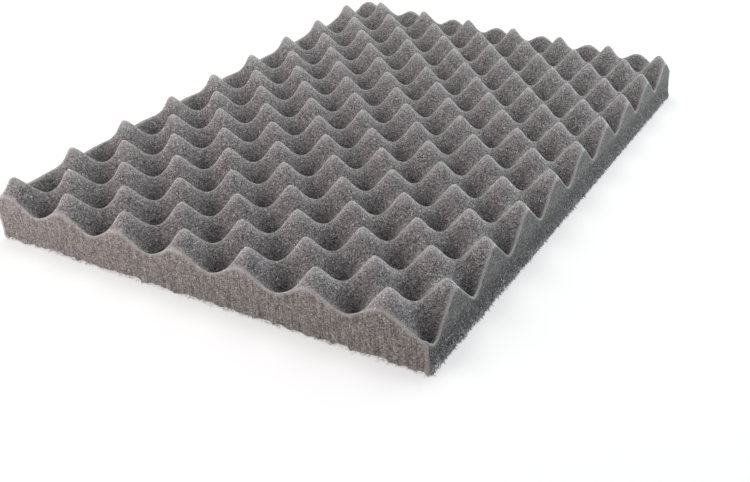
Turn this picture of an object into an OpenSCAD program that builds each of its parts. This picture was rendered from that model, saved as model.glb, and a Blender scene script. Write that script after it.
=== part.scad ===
// Convoluted foam insert for the lid of a carrying case.
// One sheet of open-cell foam: flat back, four straight cut sides, and a front of staggered peaks and bowls.
// X runs along the short front edge, Y along the long edge, Z up from the flat back.
// Lengths are in millimetres.

/* [Sheet] */
// Width, along the short edge
sheet_w = 261.5; // [100:0.5:420]
// Length, along the long edge
sheet_l = 366; // [100:0.5:520]
// Height of the peaks above the flat back
sheet_t = 36; // [32:0.5:80]

/* [Convolutions] */
// Depth of the bowls below the peaks
wave_depth = 23.5; // [4:0.5:28]
// Distance from one peak to the next along the width
pitch_w = 38; // [30:0.5:80]
// Distance from one peak to the next along the length
pitch_l = 40.5; // [30:0.5:80]
// Distance from the left cut edge to the first line of peaks
first_peak_w = 9; // [0:0.25:20]
// Distance from the front cut edge to the first line of peaks
first_peak_l = 7.75; // [0:0.25:20]
// Slope of the peaks: a low value gives slim peaks with hollow flanks, 1 gives round humps
peak_slope = 0.55; // [0.3:0.01:1]
// Rounding of the tips: 0 gives a point, higher values a blunt tip
tip_round = 0.07; // [0:0.01:0.3]

/* [Hidden] */
foam_grey = "#737072";

// Half a pitch is the step from a peak to a bowl
step_w = pitch_w / 2;
step_l = pitch_l / 2;

// Stations inside one step, closer together at the peaks and the bowls than on the slopes
stations_w = [0, 0.15, 0.38, 0.62, 0.85];
stations_l = [0, 0.19, 0.5, 0.81];

// A station this near to a cut edge is left out, so no sliver is made there
edge_gap = 0.06;

// Positions along one side: the two cut edges and every station between them
function positions(side, first, step, stations) =
    let (
        lowest = -ceil(first / step) - 1,
        highest = ceil((side - first) / step),
        gap = edge_gap * step
    )
    concat(
        [0],
        [
            for (k = [lowest : highest], s = stations)
                let (p = first + (k + s) * step)
                if (p > gap && p < side - gap) p
        ],
        [side]
    );

// Place on the wave: 1 on a peak, -1 in a bowl, 0 half way between them
function wave(x, y) = cos(180 * (x - first_peak_w) / step_w) * cos(180 * (y - first_peak_l) / step_l);

// Height of a peak above the half-way level, as a share of the whole peak
function flank(c) =
    1 - (pow(1 - c + tip_round, peak_slope) - pow(tip_round, peak_slope))
    / (pow(1 + tip_round, peak_slope) - pow(tip_round, peak_slope));

// Height of the surface above the flat back: a bowl is a peak turned over,
// because one cut parts a block into two sheets that fit each other
function top_at(x, y) =
    let (c = wave(x, y))
    sheet_t - wave_depth / 2 * (1 - sign(c) * flank(abs(c)));

// Whether the slope between two peaks rises to the right at this place
function rises_right(x, y) =
    (floor((x - first_peak_w) / step_w) + floor((y - first_peak_l) / step_l)) % 2 == 0;

module foam_sheet() {
    xs = positions(sheet_w, first_peak_w, step_w, stations_w);
    ys = positions(sheet_l, first_peak_l, step_l, stations_l);
    nx = len(xs);
    ny = len(ys);

    // The convoluted surface row by row, then the four corners of the flat back
    points = concat(
        [
            for (y = ys, x = xs)
                [x - sheet_w / 2, y - sheet_l / 2, top_at(x, y)]
        ],
        [
            for (v = [0, 1], u = [0, 1])
                [(u - 0.5) * sheet_w, (v - 0.5) * sheet_l, 0]
        ]
    );
    front_left = nx * ny;
    front_right = front_left + 1;
    back_left = front_left + 2;
    back_right = front_left + 3;

    // Each cell is folded along the ridge from peak to peak
    cells = [
        for (j = [0 : ny - 2], i = [0 : nx - 2], half = [0, 1])
            let (
                a = j * nx + i,
                b = a + 1,
                c = a + nx,
                d = c + 1,
                right = rises_right((xs[i] + xs[i + 1]) / 2, (ys[j] + ys[j + 1]) / 2)
            )
            right
                ? (half == 0 ? [a, c, d] : [a, d, b])
                : (half == 0 ? [a, c, b] : [c, d, b])
    ];

    // The four cut sides, each one flat face under the rim of the surface
    front = concat([front_left], [for (i = [0 : nx - 1]) i], [front_right]);
    right = concat([front_right], [for (j = [0 : ny - 1]) j * nx + nx - 1], [back_right]);
    back = concat([back_right], [for (i = [nx - 1 : -1 : 0]) (ny - 1) * nx + i], [back_left]);
    left = concat([back_left], [for (j = [ny - 1 : -1 : 0]) j * nx], [front_left]);
    flat_back = [front_left, front_right, back_right, back_left];

    color(foam_grey)
        polyhedron(points = points, faces = concat(cells, [front, right, back, left, flat_back]), convexity = 10);
}

foam_sheet();
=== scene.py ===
"""Looks of the convoluted foam sheet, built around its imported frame. Lengths are in metres."""

import math

import bpy
import numpy as np
from mathutils import Matrix, Vector


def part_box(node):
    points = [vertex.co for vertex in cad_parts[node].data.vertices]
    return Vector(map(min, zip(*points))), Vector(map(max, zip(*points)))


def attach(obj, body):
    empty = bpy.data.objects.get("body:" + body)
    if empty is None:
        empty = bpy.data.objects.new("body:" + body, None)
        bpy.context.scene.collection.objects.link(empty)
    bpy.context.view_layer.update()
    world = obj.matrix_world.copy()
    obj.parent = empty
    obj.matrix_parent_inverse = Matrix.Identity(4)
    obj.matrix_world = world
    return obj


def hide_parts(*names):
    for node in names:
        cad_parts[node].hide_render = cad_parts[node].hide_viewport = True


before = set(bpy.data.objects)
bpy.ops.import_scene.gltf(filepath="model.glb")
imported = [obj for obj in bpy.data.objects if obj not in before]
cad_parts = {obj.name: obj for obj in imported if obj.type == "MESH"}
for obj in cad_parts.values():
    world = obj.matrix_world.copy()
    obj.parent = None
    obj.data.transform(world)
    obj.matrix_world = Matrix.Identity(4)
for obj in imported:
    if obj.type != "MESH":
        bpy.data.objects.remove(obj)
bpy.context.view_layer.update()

MM = 0.001

# Image frame of the photograph, in pixels
IMAGE_W = 750
IMAGE_H = 482

# Camera of the photograph, in the part's frame; its sensor is measured in millimetres
CAMERA_AT = Vector((303.75, -487.35, 284.2)) * MM
CAMERA_FORWARD = Vector((-0.3536, 0.7781, -0.5192))
CAMERA_RIGHT = Vector((0.904, 0.4269, 0.0241))
CAMERA_NEAR = 10 * MM
FOCAL_PX = 986.2
OPTICAL_AXIS_X_PX = 500.0
OPTICAL_AXIS_Y_PX = 241.0
SENSOR_W = 36.0

# The sheet, from its solid
LOW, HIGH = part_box("foam_sheet")
SHEET_W = HIGH.x - LOW.x
SHEET_L = HIGH.y - LOW.y

# The convolutions, as in the solid
WAVE_DEPTH = 23.5 * MM
PITCH_W = 38 * MM
PITCH_L = 40.5 * MM
FIRST_PEAK_W = 9 * MM
FIRST_PEAK_L = 7.75 * MM
PEAK_SLOPE = 0.55
TIP_ROUND = 0.07

# How far the real sheet strays from the pattern, sideways and in height, in millimetres:
# rows are powers of the place across the sheet, columns are powers of the place along it
STRAY_ACROSS = ((0.7, 0.5, -1.1), (-0.3, -0.6, 0.4), (0.6, -1.2, 0.5), (0.2, 0.5, 0.6))
STRAY_HEIGHT = ((0.0, 0.4, -0.5), (0.2, -0.6, 0.1), (0.7, -0.2, 0.4), (-0.9, -0.7, 0.0))

# Uneven height from peak to peak, and the roughness of the cut
LOSS_SPACING = 31 * MM
HEIGHT_LOSS = 0.3 * MM
ROUGHNESS = 0.09 * MM

# Tips near the left edge bend outward
TIP_BEND = 1.6 * MM
TIP_BEND_ZONE = 95 * MM
TIP_BEND_EDGE = 4 * TIP_BEND
TIP_BEND_FROM = 0.7

# The soft right side stands out a little and spreads at its foot, and its front end is pressed down
RIGHT_BULGE = 0.7 * MM
RIGHT_FLARE = 1.4 * MM
FLARE_HEIGHT = 16 * MM
PRESSED_DEPTH = 2.6 * MM
PRESSED_WIDTH = 5.5 * MM
PRESSED_LENGTH = 95 * MM

# Spacing of the fine grid, rows down the cut sides, and the worn edge round the top
GRID = 1.3 * MM
SIDE_ROWS = 36
BEVEL = 0.45 * MM

# The cut sides: blade marks, weaker on the torn right side, and the ragged lower edge with its tufts
MARK_DEPTH = 0.2 * MM
MARK_SPACING = 1.5 * MM
MARK_LENGTH = 9 * MM
MARK_SLANT = 0.45
TORN_MARKS = 0.3
RAGGED_EDGE = 3.2 * MM
RAGGED_MEAN = 0.55
TUFT_REACH = 1.7 * MM
TUFT_HEIGHT = 5 * MM
TUFT_SPACING = 2.6 * MM
FOOT_FALL = 1.5
CORNER_REACH = 0.4
UNDERCUT = 2.2 * MM

# Torn strands: a fine fringe along the foot of three cut sides, and thick shag on the right one
# The last entry is how pale the strands are painted, as a highlight
FRINGE = {"per_metre": 3400, "rise": 2.4 * MM, "thickness": 0.13 * MM, "length": 1.6 * MM, "painted_pale": 0.4}
SHAG = {"per_metre": 14000, "rise": 4.5 * MM, "thickness": 0.3 * MM, "length": 1.7 * MM, "painted_pale": 1.0}
STRAND_SIDES = 3
STRAND_RINGS = 4
STRAND_LOWEST = 0.4 * MM
STRAND_TALLEST = 3.5
STRAND_ROOT = 0.3 * MM
STRAND_CLEAR = 0.02 * MM
STRAND_OUTWARD = (0.15, 0.6)
STRAND_DROOP = (-0.1, 0.9)
STRAND_LEAN = -0.5
STRAND_SPREAD = 0.45
STRAND_TONE = (0.5, 1.3)
STRAND_SIZE = (0.4, 1)
STRAND_FADE = 1.2
STRAND_SHORTEST = 0.4
STRAND_TAPER = 0.5
LEAST_PAINTED_PALE = 0.3

# Tone of the foam from the bowls up, and its pale tips: painted shade, darker down in the bowls and
# lighter up the peaks, and a painted highlight on the tips
BOWL_TONE = 0.3
TONE_RISE = 0.84
TIP_PALE = 0.55
TIP_PALE_FROM = 0.7

# Tone of the cut sides, as painted shade: nearly even on three and a little darker towards the foot,
# painted dark on the torn right one, with a painted highlight at its foot
SIDE_TONE = 0.84
SIDE_TONE_RISE = 0.09
SIDE_RISE_HEIGHT = 20 * MM
RIGHT_SHADE_TONE = 0.43
RIGHT_SHADE_LOSS = 0.16
RIGHT_SHADE_TOP = 18 * MM
RIGHT_SHADE_FADE = 10 * MM
PAINTED_FOOT_LIGHT = 0.14
FOOT_LIGHT_HEIGHT = 5 * MM
TORN_CUT = 0.25
SHAG_TOP = 13.5 * MM
SHAG_FADE = 9 * MM

# Painted highlights: a pale rim and pale corners along the cut edges, the corners also painted brighter in
# tone, and pale tufts at the foot
PALE_RIM = 0.85
RIM_MEAN = 0.75
RIM_UNEVEN = 0.35
RIM_WIDTH = 1.1 * MM
PALE_CORNER = 0.8
CORNER_TONE = 1.5
TUFT_PALE = 0.7

# Foam cells: their size, and the colours of pores, struts and the pale colour painted as highlights
CELL = 0.56 * MM
PORE = (0.083, 0.076, 0.079)
STRUT = (0.383, 0.359, 0.365)
PALE = (0.57, 0.556, 0.538)

# Tints of the cut sides and of the torn foot, as painted light: a warm tint for painted bounce light on
# the cut sides and a blue tint for the painted shade of the torn foot; and the sheen of the loose struts
CUT_TINT = (1.03, 0.985, 0.89)
FOOT_TINT = (1.0, 0.97, 1.16)
FUZZ = (1.85, 1.84, 1.82)
FUZZ_ROUGHNESS = 0.45
GLOSS = 0.15

# Sizes of the patterns in the foam's colour
MOTTLE_SIZE = 5 * MM
STREAK_WIDTH = 0.8 * MM
STREAK_LENGTH = 14 * MM
CLUMP_SIZE = 1.3 * MM
BUMP_STRENGTH = 0.35
BUMP_DISTANCE = 0.3 * MM

# How much the patterns brighten or darken the foam, and the spans of the noise that they are made from
PORE_SPAN = (0.12, 0.62)
CELL_GAIN = (0.3, 1.5)
SPECK_GAIN = (0, 1.6)
SPECK_SPAN = (0.9, 1.0)
CUT_CALM = (1.0, 0.85)
MOTTLE_GAIN = (0.95, 1.05)
MOTTLE_SPAN = (0.3, 0.7)
STREAK_GAIN = (-0.42, 0.42)
STREAK_SPAN = (0.33, 0.67)
CLUMP_GAIN = (-0.85, 2.2)
CLUMP_SPAN = (0.38, 0.68)
PALE_GRAIN_GAIN = (0.7, 1.2)

# Sockets of a colour mix node
MIX_SHARE = 0
MIX_FIRST = 6
MIX_SECOND = 7
MIX_RESULT = 2

# Seeds of the random patterns; each row of the sides adds its number to the side's seed
LOSS_SEED = 3
ROUGH_SEED = 4
MARK_SEED = 11
TUFT_SEED = 12
RAGGED_SEED = 13
RIM_SEED = 14
SIDE_SEED = 20
STRAND_SEED = 31
NOISE_TABLE = 256

# The floor, the even white room, and the soft lights: direction, distance, size, level and colour
FLOOR_SIZE = 8
FLOOR_COLOUR = (0.62, 0.62, 0.62)
FLOOR_GLOW = 0.5
ROOM_LEVEL = 0.295
LIGHTS = {
    "key": ((-0.25, 0.24, 0.94), 1.2, 0.9, 0.485, (1.0, 0.99, 0.97)),
    "warm_front": ((-0.5, -0.78, 0.36), 0.7, 0.5, 0.34, (1.0, 0.86, 0.88)),
    "cool_right": ((0.86, 0.25, 0.45), 0.85, 0.6, 0.18, (0.78, 0.98, 1.1)),
    "back_right": ((0.42, 0.82, 0.45), 0.85, 0.6, 0.22, (0.95, 1.0, 0.93)),
}


def wave(x, y):
    """Place on the wave: 1 on a peak, -1 in a bowl, 0 half way between them."""
    across = np.cos(2 * np.pi * (x - LOW.x - FIRST_PEAK_W) / PITCH_W)
    along = np.cos(2 * np.pi * (y - LOW.y - FIRST_PEAK_L) / PITCH_L)
    return across * along


def top_at(x, y):
    """Height of the convoluted surface: a bowl is a peak turned over."""
    place = wave(x, y)
    tip = TIP_ROUND**PEAK_SLOPE
    whole = (1 + TIP_ROUND) ** PEAK_SLOPE - tip
    flank = 1 - ((1 - abs(place) + TIP_ROUND) ** PEAK_SLOPE - tip) / whole
    return HIGH.z - WAVE_DEPTH / 2 * (1 - np.sign(place) * flank)


def stray(table, x, y):
    """How far the real sheet strays from a true one at a place."""
    u = 2 * (x - LOW.x) / SHEET_W - 1
    v = 2 * (y - LOW.y) / SHEET_L - 1
    return np.polynomial.polynomial.polyval2d(u, v, table) * MM


def soft_noise(u, v, seed):
    """Smooth random hills between -1 and 1, about one for each unit of u and v."""
    table = np.random.default_rng(seed).uniform(-1, 1, (NOISE_TABLE, NOISE_TABLE))
    i = np.floor(u).astype(int)
    j = np.floor(v).astype(int)
    a = u - i
    b = v - j
    a = a * a * (3 - 2 * a)
    b = b * b * (3 - 2 * b)
    left = i % NOISE_TABLE
    right = (i + 1) % NOISE_TABLE
    low = j % NOISE_TABLE
    high = (j + 1) % NOISE_TABLE
    near = table[left, low] * (1 - a) + table[right, low] * a
    far = table[left, high] * (1 - a) + table[right, high] * a
    return near * (1 - b) + far * b


def add_piece(name, points, faces, attributes):
    """A smooth mesh piece, with one number at each point for every attribute."""
    mesh = bpy.data.meshes.new(name)
    mesh.from_pydata(points.tolist(), [], faces)
    mesh.update()
    mesh.validate()
    for key, values in attributes.items():
        mesh.attributes.new(key, "FLOAT", "POINT").data.foreach_set("value", values.astype(np.float32))
    mesh.shade_smooth()
    piece = bpy.data.objects.new(name, mesh)
    bpy.context.scene.collection.objects.link(piece)
    return piece


def top_points(nx, ny):
    """The convoluted surface on a grid, with the strays, bent tips and pressed end of the real sheet."""
    xs = np.linspace(LOW.x + BEVEL, HIGH.x + RIGHT_BULGE - BEVEL, nx)
    ys = np.linspace(LOW.y + BEVEL, HIGH.y - BEVEL, ny)
    gx, gy = np.meshgrid(xs, ys)
    gz = top_at(gx - stray(STRAY_ACROSS, gx, gy), gy) + stray(STRAY_HEIGHT, gx, gy)
    gz -= HEIGHT_LOSS * (0.5 + 0.5 * soft_noise(gx / LOSS_SPACING, gy / LOSS_SPACING, LOSS_SEED))
    gz -= ROUGHNESS * np.random.default_rng(ROUGH_SEED).uniform(0, 1, gz.shape)
    from_right = (HIGH.x - gx) / PRESSED_WIDTH
    from_front = (gy - LOW.y) / PRESSED_LENGTH
    gz -= PRESSED_DEPTH * np.exp(-(from_right**2) - from_front**2)
    lift = 1 - (HIGH.z - gz) / WAVE_DEPTH
    bend = np.clip((lift - TIP_BEND_FROM) / (1 - TIP_BEND_FROM), 0, 1)
    near_edge = np.clip(2 * (1 - (gx - LOW.x) / TIP_BEND_ZONE), 0, 1)
    off_edge = np.clip((gx - LOW.x) / TIP_BEND_EDGE, 0, 1)
    gx = gx - TIP_BEND * bend * near_edge * off_edge
    return np.stack([gx, gy, gz], -1).reshape(-1, 3)


def ring_outward(nx, ny):
    """Outward direction at each point round the sheet, from the front left corner by way of the right."""
    front = np.tile((0.0, -1.0), (nx - 1, 1))
    right = np.tile((1.0, 0.0), (ny - 1, 1))
    back = -front
    left = -right
    front[0] = (-1, -1)
    right[0] = (1, -1)
    back[0] = (1, 1)
    left[0] = (-1, 1)
    return np.concatenate([front, right, back, left])


def mark_run(along, height, outward):
    """Place across the blade marks, which slant on the left and right sides."""
    return along - MARK_SLANT * height * (abs(outward[:, 0]) > 0)


def flare(height, outward):
    """How far the foot of the right side spreads."""
    return RIGHT_FLARE * (outward[:, 0] > 0) * np.clip(1 - height / FLARE_HEIGHT, 0, 1) ** FOOT_FALL


def side_reach(along, height, outward):
    """How far a point of a cut side stands out: blade marks all over, tufts near the lower edge."""
    run = mark_run(along, height, outward)
    marks = MARK_DEPTH * soft_noise(run / MARK_SPACING, height / MARK_LENGTH, MARK_SEED)
    marks *= np.where(outward[:, 0] > 0, TORN_MARKS, 1)
    tufts = TUFT_REACH * np.maximum(0, soft_noise(along / TUFT_SPACING, height / TUFT_SPACING, TUFT_SEED))
    low = np.clip(1 - height / TUFT_HEIGHT, 0, 1) ** FOOT_FALL
    return marks + tufts * low + flare(height, outward)


def side_rings(edge, along, outward, corner):
    """Rings of points down the cut sides, from the worn edge to the foot under the ragged lower edge."""
    ragged = soft_noise(along / TUFT_SPACING, np.zeros(len(along)), RAGGED_SEED)
    lowest = LOW.z + RAGGED_EDGE * (RAGGED_MEAN + (1 - RAGGED_MEAN) * ragged)
    lowest[corner] = LOW.z
    rows = [edge]
    for row in range(1, SIDE_ROWS + 1):
        share = row / SIDE_ROWS
        ring = edge.copy()
        ring[:, 2] = edge[:, 2] * (1 - share) + lowest * share
        below = np.clip((edge[:, 2] - ring[:, 2]) / (2 * BEVEL), 0, 1)
        rough = np.random.default_rng(SIDE_SEED + row).uniform(-1, 1, len(edge))
        reach = (side_reach(along, ring[:, 2] - LOW.z, outward) + ROUGHNESS * rough) * below
        reach[corner] *= CORNER_REACH
        ring[:, :2] += outward * reach[:, None]
        rows.append(ring)
    foot = edge.copy()
    foot[:, :2] -= outward * UNDERCUT
    foot[:, 2] = LOW.z
    rows.append(foot)
    return rows


def make_sheet():
    """One closed mesh: the convoluted top, a worn edge, four cut sides and the flat back."""
    nx = round(SHEET_W / GRID) + 1
    ny = round(SHEET_L / GRID) + 1
    top = top_points(nx, ny)
    index = np.arange(nx * ny).reshape(ny, nx)
    quads = np.stack([index[:-1, :-1], index[:-1, 1:], index[1:, 1:], index[1:, :-1]], -1).reshape(-1, 4)

    rim = np.concatenate([index[0, :-1], index[:-1, -1], index[-1, :0:-1], index[:0:-1, 0]])
    outward = ring_outward(nx, ny)
    corner = np.abs(outward).sum(1) == 2
    along = np.arange(len(rim)) * GRID
    edge = top[rim].copy()
    edge[:, :2] += outward * BEVEL
    edge[:, 2] -= BEVEL
    rows = side_rings(edge, along, outward, corner)

    points = np.concatenate([top] + rows)
    rings = [rim] + [len(top) + k * len(rim) + np.arange(len(rim)) for k in range(len(rows))]
    faces = quads.tolist()
    for upper, lower in zip(rings, rings[1:]):
        faces += np.stack([upper, lower, np.roll(lower, -1), np.roll(upper, -1)], -1).tolist()
    faces.append(rings[-1].tolist()[::-1])

    looks = sheet_attributes(points, len(top), rings, along, outward, corner)
    sheet = add_piece("foam_body", points, faces, looks)
    return sheet, edge[~corner], outward[~corner]


def side_tone(height, torn):
    """Tone of the cut sides by height, where torn marks the points of the right side: painted shade,
    darker towards the foot and dark on the right side, with a painted highlight at its very foot.
    """
    plain = SIDE_TONE + SIDE_TONE_RISE * np.clip(height / SIDE_RISE_HEIGHT, 0, 1)
    # Painted shade on the right side, darker in its lower part, and a painted highlight at its very foot
    rough = RIGHT_SHADE_TONE - RIGHT_SHADE_LOSS * np.clip((RIGHT_SHADE_TOP - height) / RIGHT_SHADE_FADE, 0, 1)
    rough += PAINTED_FOOT_LIGHT * np.clip(1 - height / FOOT_LIGHT_HEIGHT, 0, 1)
    return np.where(torn, rough, plain)


def sheet_attributes(points, top_count, rings, along, outward, corner):
    """What the foam's colour needs at each point: tone, which is painted shade and light, paleness, which
    is painted highlight, cut sides, blade marks and torn shag.
    """
    x, y, z = points.T
    lift = np.clip(1 - (HIGH.z - z) / WAVE_DEPTH, 0, 1)
    # Painted shade: darker down in the bowls, lighter up the peaks; then pale tips as a painted highlight
    tone = BOWL_TONE + TONE_RISE * lift
    pale = TIP_PALE * np.clip((lift - TIP_PALE_FROM) / (1 - TIP_PALE_FROM), 0, 1) ** 2
    inside = np.minimum.reduce([x - LOW.x, HIGH.x + RIGHT_BULGE - x, y - LOW.y, HIGH.y - y])
    # Painted highlight: a pale rim along the top edges
    pale = np.maximum(pale, PALE_RIM * np.exp(-((inside / RIM_WIDTH) ** 2)))
    cut = np.ones(len(points))
    cut[:top_count] = 0
    stroke = np.zeros(len(points))
    shag = np.zeros(len(points))
    torn = outward[:, 0] > 0
    uneven = RIM_MEAN + RIM_UNEVEN * soft_noise(along / TUFT_SPACING, np.zeros(len(along)), RIM_SEED)
    for ring in rings[1:]:
        height = z[ring] - LOW.z
        below = z[rings[1]] - z[ring]
        clumps = np.clip(soft_noise(along / TUFT_SPACING, height / TUFT_SPACING, TUFT_SEED), 0, 1)
        stroke[ring] = mark_run(along, height, outward)
        tone[ring] = side_tone(height, torn)
        cut[ring] = np.where(torn, TORN_CUT, 1)
        # The torn foot of the right side, which gets the painted blue shade and the painted clumps of
        # light and shade
        shag[ring] = torn * np.clip((SHAG_TOP - height) / SHAG_FADE, 0, 1)
        # Painted highlight along the top of each side, uneven along the edge, and on clumps of tufts near
        # the foot
        pale[ring] = PALE_RIM * uneven * np.exp(-((below / RIM_WIDTH) ** 2))
        pale[ring] += TUFT_PALE * clumps * np.clip(1 - height / TUFT_HEIGHT, 0, 1)
        corners = ring[corner]
        # Painted highlight on the corners: paler and brighter in tone
        pale[corners] = np.maximum(pale[corners], PALE_CORNER)
        tone[corners] = CORNER_TONE
        shag[corners] = 0
        cut[corners] = 1
    return {"tone": tone, "pale": pale, "cut": cut, "stroke": stroke, "shag": shag}


def make_strands(name, edge, outward, per_metre, rise, thickness, length, painted_pale):
    """Torn strands of foam that stand out from cut sides, mostly near their foot, painted pale as a
    highlight.
    """
    random = np.random.default_rng(STRAND_SEED)
    count = round(per_metre * len(edge) * GRID)
    tallest = STRAND_TALLEST * rise
    place = random.integers(0, len(edge), count)
    outward = np.column_stack([outward[place], np.zeros(count)])
    run = np.column_stack([-outward[:, 1], outward[:, 0], np.zeros(count)])
    height = np.minimum(STRAND_LOWEST + random.exponential(rise, count), tallest)
    base = edge[place] + run * random.uniform(-0.5, 0.5, (count, 1)) * GRID
    base += outward * (flare(height, outward) - STRAND_ROOT)[:, None]
    base[:, 2] = LOW.z + height
    lean = STRAND_LEAN * (outward[:, 0] != 0)
    aim = outward * random.uniform(*STRAND_OUTWARD, (count, 1))
    aim += run * (lean + random.normal(0, STRAND_SPREAD, count))[:, None]
    aim[:, 2] -= random.uniform(*STRAND_DROOP, count)
    size = random.uniform(*STRAND_SIZE, count) * length
    size *= np.clip(STRAND_FADE - height / tallest, STRAND_SHORTEST, 1)
    points = strand_points(base, aim, size, thickness, random)
    points[..., 2] = np.maximum(points[..., 2], LOW.z + STRAND_CLEAR)
    share = points.shape[1]
    looks = {
        "tone": np.repeat(random.uniform(*STRAND_TONE, count), share),
        # Painted highlight: each strand painted pale by a random share
        "pale": np.repeat(random.uniform(LEAST_PAINTED_PALE * painted_pale, painted_pale, count), share),
        "cut": np.zeros(count * share),
        "stroke": np.zeros(count * share),
        "shag": np.zeros(count * share),
    }
    return add_piece(name, points.reshape(-1, 3), strand_faces(count), looks)


def strand_points(base, aim, size, thickness, random):
    """Points of curved, tapered strands: one block of rings for each."""
    aim = aim / np.linalg.norm(aim, axis=1)[:, None]
    bend = random.normal(0, STRAND_SPREAD, aim.shape)
    first = np.cross(aim, random.normal(0, 1, aim.shape))
    first /= np.linalg.norm(first, axis=1)[:, None]
    second = np.cross(aim, first)
    blocks = []
    for ring in range(STRAND_RINGS):
        share = ring / (STRAND_RINGS - 1)
        centre = base + (aim * share + bend * share**2) * size[:, None]
        radius = thickness * (1 - STRAND_TAPER * share)
        for side in range(STRAND_SIDES):
            angle = 2 * math.pi * side / STRAND_SIDES
            blocks.append(centre + radius * (math.cos(angle) * first + math.sin(angle) * second))
    return np.stack(blocks, 1)


def strand_faces(total):
    """Faces of all strands: walls between the rings and a cap at each end."""
    faces = []
    for strand in range(total):
        start = strand * STRAND_RINGS * STRAND_SIDES
        for ring in range(STRAND_RINGS - 1):
            low = start + ring * STRAND_SIDES
            high = low + STRAND_SIDES
            for side in range(STRAND_SIDES):
                after = (side + 1) % STRAND_SIDES
                faces.append([low + side, low + after, high + after, high + side])
        last = start + (STRAND_RINGS - 1) * STRAND_SIDES
        faces.append([start + side for side in reversed(range(STRAND_SIDES))])
        faces.append([last + side for side in range(STRAND_SIDES)])
    return faces


def add_node(tree, kind, **values):
    """A new node, with its properties and unlinked inputs set by name."""
    node = tree.nodes.new(kind)
    for name, value in values.items():
        if hasattr(node, name):
            setattr(node, name, value)
        else:
            node.inputs[name].default_value = value
    return node


def add_range(tree, source, low, high, from_low=0.0, from_high=1.0):
    """Maps a number from one range to another."""
    node = add_node(tree, "ShaderNodeMapRange")
    node.inputs["From Min"].default_value = from_low
    node.inputs["From Max"].default_value = from_high
    node.inputs["To Min"].default_value = low
    node.inputs["To Max"].default_value = high
    tree.links.new(source, node.inputs["Value"])
    return node.outputs["Result"]


def add_math(tree, operation, first, second):
    """Joins two numbers."""
    node = add_node(tree, "ShaderNodeMath", operation=operation)
    for socket, source in zip(node.inputs, (first, second)):
        if isinstance(source, (int, float)):
            socket.default_value = source
        else:
            tree.links.new(source, socket)
    return node.outputs["Value"]


def add_noise(tree, where, scale, detail):
    """Soft noise over a place."""
    node = add_node(tree, "ShaderNodeTexNoise", Scale=scale, Detail=detail)
    tree.links.new(where, node.inputs["Vector"])
    return node.outputs["Fac"]


def add_mix(tree, share, first, second, blend="MIX"):
    """Mixes two colours, each a socket or a fixed colour."""
    node = add_node(tree, "ShaderNodeMix", data_type="RGBA", blend_type=blend)
    tree.links.new(share, node.inputs[MIX_SHARE])
    for place, source in ((MIX_FIRST, first), (MIX_SECOND, second)):
        if isinstance(source, tuple):
            node.inputs[place].default_value = (*source, 1)
        else:
            tree.links.new(source, node.inputs[place])
    return node.outputs[MIX_RESULT]


def add_scale(tree, colour, factor):
    """Brightens or darkens a colour, a socket or a fixed one."""
    node = add_node(tree, "ShaderNodeVectorMath", operation="SCALE")
    if isinstance(colour, tuple):
        node.inputs[0].default_value = colour
    else:
        tree.links.new(colour, node.inputs[0])
    tree.links.new(factor, node.inputs["Scale"])
    return node.outputs["Vector"]


def read_attribute(tree, name):
    """A point attribute of the mesh, as a number."""
    return add_node(tree, "ShaderNodeAttribute", attribute_name=name).outputs["Fac"]


def cell_grain(tree, cells, cut):
    """Brightness from cell to cell, with a few bright specks painted as glints, a little calmer on the cut
    sides.
    """
    chance = add_node(tree, "ShaderNodeSeparateColor")
    tree.links.new(cells.outputs["Color"], chance.inputs["Color"])
    shade = add_range(tree, chance.outputs["Red"], *CELL_GAIN)
    # Painted glints: a few cells made bright
    speck = add_range(tree, chance.outputs["Green"], *SPECK_GAIN, *SPECK_SPAN)
    change = add_math(tree, "SUBTRACT", add_math(tree, "ADD", shade, speck), 1.0)
    calm = add_range(tree, cut, *CUT_CALM)
    return add_math(tree, "ADD", add_math(tree, "MULTIPLY", change, calm), 1.0)


def blade_streaks(tree, where, cut):
    """Light and dark streaks along the blade marks of the cut sides."""
    place = add_node(tree, "ShaderNodeSeparateXYZ")
    tree.links.new(where, place.inputs["Vector"])
    across = add_math(tree, "MULTIPLY", read_attribute(tree, "stroke"), 1 / STREAK_WIDTH)
    down = add_math(tree, "MULTIPLY", place.outputs["Z"], 1 / STREAK_LENGTH)
    run = add_node(tree, "ShaderNodeCombineXYZ")
    tree.links.new(across, run.inputs["X"])
    tree.links.new(down, run.inputs["Y"])
    marks = add_noise(tree, run.outputs["Vector"], 1.0, 2.0)
    streak = add_range(tree, marks, *STREAK_GAIN, *STREAK_SPAN)
    return add_math(tree, "ADD", add_math(tree, "MULTIPLY", streak, cut), 1.0)


def shag_clumps(tree, where, shag):
    """Pale clumps and dark gaps in the torn foot of the right side: painted highlight on the clumps and
    painted shade in the gaps.
    """
    noise = add_noise(tree, where, 1 / CLUMP_SIZE, 1.0)
    clump = add_range(tree, noise, *CLUMP_GAIN, *CLUMP_SPAN)
    return add_math(tree, "ADD", add_math(tree, "MULTIPLY", clump, shag), 1.0)


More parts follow.
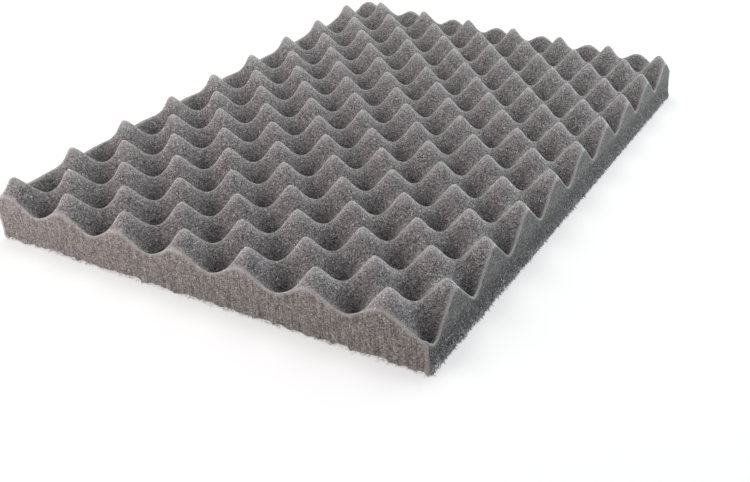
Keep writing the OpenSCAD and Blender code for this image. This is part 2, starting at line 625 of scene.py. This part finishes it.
def foam_material():
    """Open-cell charcoal foam: struts round dark pores, specks painted as glints, painted shade and
    highlights, painted light tints and a sheen of loose struts.
    """
    material = bpy.data.materials.new("charcoal_foam")
    material.use_nodes = True
    tree = material.node_tree
    link = tree.links.new
    shader = tree.nodes["Principled BSDF"]
    shader.inputs["Roughness"].default_value = 1
    shader.inputs["Specular IOR Level"].default_value = GLOSS
    shader.inputs["Sheen Weight"].default_value = 1
    shader.inputs["Sheen Roughness"].default_value = FUZZ_ROUGHNESS

    where = add_node(tree, "ShaderNodeTexCoord").outputs["Object"]
    tone = read_attribute(tree, "tone")
    cut = read_attribute(tree, "cut")
    shag = read_attribute(tree, "shag")
    cells = add_node(tree, "ShaderNodeTexVoronoi", Scale=1 / CELL)
    link(where, cells.inputs["Vector"])
    pores = add_range(tree, cells.outputs["Distance"], 0, 1, *PORE_SPAN)
    mottle = add_noise(tree, where, 1 / MOTTLE_SIZE, 2.0)
    patches = add_range(tree, mottle, *MOTTLE_GAIN, *MOTTLE_SPAN)

    bright = add_math(tree, "MULTIPLY", cell_grain(tree, cells, cut), tone)
    gain = add_math(tree, "MULTIPLY", bright, shag_clumps(tree, where, shag))
    gain = add_math(tree, "MULTIPLY", gain, patches)
    gain = add_math(tree, "MULTIPLY", gain, blade_streaks(tree, where, cut))
    foam = add_scale(tree, add_mix(tree, pores, PORE, STRUT), gain)
    # Painted light: a warm bounce-light tint on the cut sides
    foam = add_mix(tree, cut, foam, CUT_TINT, "MULTIPLY")
    # Painted shade: a blue tint on the torn foot of the right side
    foam = add_mix(tree, shag, foam, FOOT_TINT, "MULTIPLY")
    # The pale colour of the painted highlights on tips, rims, corners, tufts and strands, with a little
    # grain
    pale_grain = add_math(tree, "MULTIPLY", add_range(tree, pores, *PALE_GRAIN_GAIN), patches)
    foam = add_mix(tree, read_attribute(tree, "pale"), foam, add_scale(tree, PALE, pale_grain))
    link(foam, shader.inputs["Base Color"])
    # The sheen is dimmed by the same painted shade of the tone
    link(add_scale(tree, FUZZ, bright), shader.inputs["Sheen Tint"])

    bump = add_node(tree, "ShaderNodeBump", Strength=BUMP_STRENGTH, Distance=BUMP_DISTANCE)
    link(pores, bump.inputs["Height"])
    link(bump.outputs["Normal"], shader.inputs["Normal"])
    return material


def make_floor():
    """A plain pale floor that looks white and keeps the shadow."""
    bpy.ops.mesh.primitive_plane_add(size=FLOOR_SIZE, location=(0, 0, LOW.z))
    floor = bpy.context.object
    floor.name = "floor"
    material = bpy.data.materials.new("pale_floor")
    material.use_nodes = True
    tree = material.node_tree
    shader = tree.nodes["Principled BSDF"]
    shader.inputs["Base Color"].default_value = (*FLOOR_COLOUR, 1)
    shader.inputs["Roughness"].default_value = 1
    shader.inputs["Specular IOR Level"].default_value = 0
    shader.inputs["Emission Color"].default_value = (1, 1, 1, 1)
    path = add_node(tree, "ShaderNodeLightPath")
    seen = add_math(tree, "ADD", path.outputs["Is Camera Ray"], path.outputs["Is Glossy Ray"])
    seen = add_math(tree, "ADD", seen, path.outputs["Is Transmission Ray"])
    tree.links.new(add_math(tree, "MULTIPLY", seen, FLOOR_GLOW), shader.inputs["Emission Strength"])
    floor.data.materials.append(material)


def make_camera():
    """The photograph's camera."""
    data = bpy.data.cameras.new("camera")
    data.sensor_width = SENSOR_W
    data.lens = FOCAL_PX / IMAGE_W * SENSOR_W
    data.shift_x = (IMAGE_W / 2 - OPTICAL_AXIS_X_PX) / IMAGE_W
    data.shift_y = (OPTICAL_AXIS_Y_PX - IMAGE_H / 2) / IMAGE_W
    data.clip_start = CAMERA_NEAR
    camera = bpy.data.objects.new("camera", data)
    bpy.context.scene.collection.objects.link(camera)
    back = -CAMERA_FORWARD.normalized()
    right = CAMERA_RIGHT.normalized()
    up = back.cross(right)
    turn = Matrix((right, up, back)).transposed().to_4x4()
    camera.matrix_world = Matrix.Translation(CAMERA_AT) @ turn
    bpy.context.scene.camera = camera


def area_light(name, towards, distance, size, level, colour):
    """A square soft light. Level is how bright it makes a white face that looks straight at it."""
    data = bpy.data.lights.new(name, "AREA")
    data.size = size
    data.energy = level * math.pi**2 * distance**2
    data.color = colour
    light = bpy.data.objects.new(name, data)
    bpy.context.scene.collection.objects.link(light)
    light.location = Vector(towards).normalized() * distance
    light.rotation_euler = (-light.location).to_track_quat("-Z", "Y").to_euler()


def make_lights():
    """An even white room, a key from above, a low warm light at the front left and two at the right."""
    world = bpy.data.worlds.new("studio")
    bpy.context.scene.world = world
    world.use_nodes = True
    background = world.node_tree.nodes["Background"]
    background.inputs["Color"].default_value = (1, 1, 1, 1)
    background.inputs["Strength"].default_value = ROOM_LEVEL
    for name, values in LIGHTS.items():
        area_light(name, *values)


make_camera()
foam = foam_material()
sheet, edge, outward = make_sheet()
right = outward[:, 0] > 0
fringe = make_strands("fringe", edge[~right], outward[~right], **FRINGE)
shag = make_strands("shag", edge[right], outward[right], **SHAG)
for piece in (sheet, fringe, shag):
    piece.data.materials.append(foam)
    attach(piece, "root")
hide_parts("foam_sheet")
make_floor()
make_lights()
bpy.context.scene.view_settings.view_transform = "Standard"
